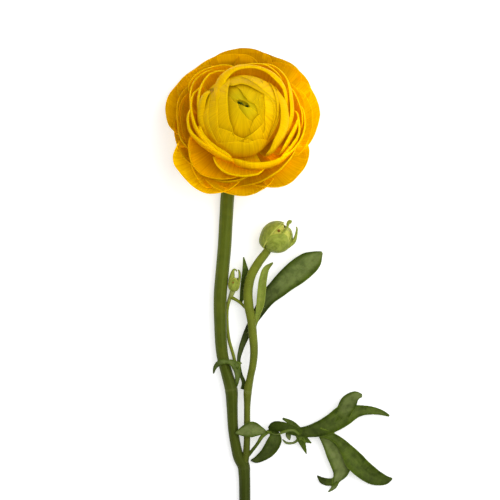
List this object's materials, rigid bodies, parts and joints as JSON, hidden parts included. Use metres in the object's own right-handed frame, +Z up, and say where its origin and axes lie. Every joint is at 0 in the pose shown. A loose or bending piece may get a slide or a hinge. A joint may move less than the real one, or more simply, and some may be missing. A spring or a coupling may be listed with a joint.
{
  "type": "ranunculus flower",
  "caption": "Cut flower lying down: full cup-shaped yellow bloom on a thick bent stem, with a side stem ending in a bud and lobed green leaves.",
  "frame": {"origin": "bottom centre of the flower's box, on the surface that it lies on", "axes": "+Y from the cut end of the stem to the bloom, +Z up from the surface"},
  "size_m": [0.0996, 0.2073, 0.0385],
  "materials": {
    "heart_petal": "satin, fresh petal, yellow with a green tone at the eye",
    "petal": "satin, fresh petal, golden orange with a bright yellow rim",
    "stem": "satin green skin with fine ridges",
    "young_stem": "satin light green skin",
    "leaf": "satin green blade with a pale bloom",
    "sepal": "satin light green with fine hairs",
    "bud_petal": "satin yellow green"
  },
  "bodies": {
    "root": {"heart_petals": "heart_petal", "cup_petals": "petal", "guard_petals": "petal", "calyx": "sepal", "main_stem": "stem", "side_stem": "young_stem", "small_bud_stalk": "young_stem", "upper_leaf": "leaf", "light_bract": "sepal", "dark_bract": "leaf", "clasping_leaf": "leaf", "lower_leaf": "leaf", "bud_petals": "bud_petal", "bud_sepals": "sepal", "small_bud": "sepal"}
  },
  "joints": []
}
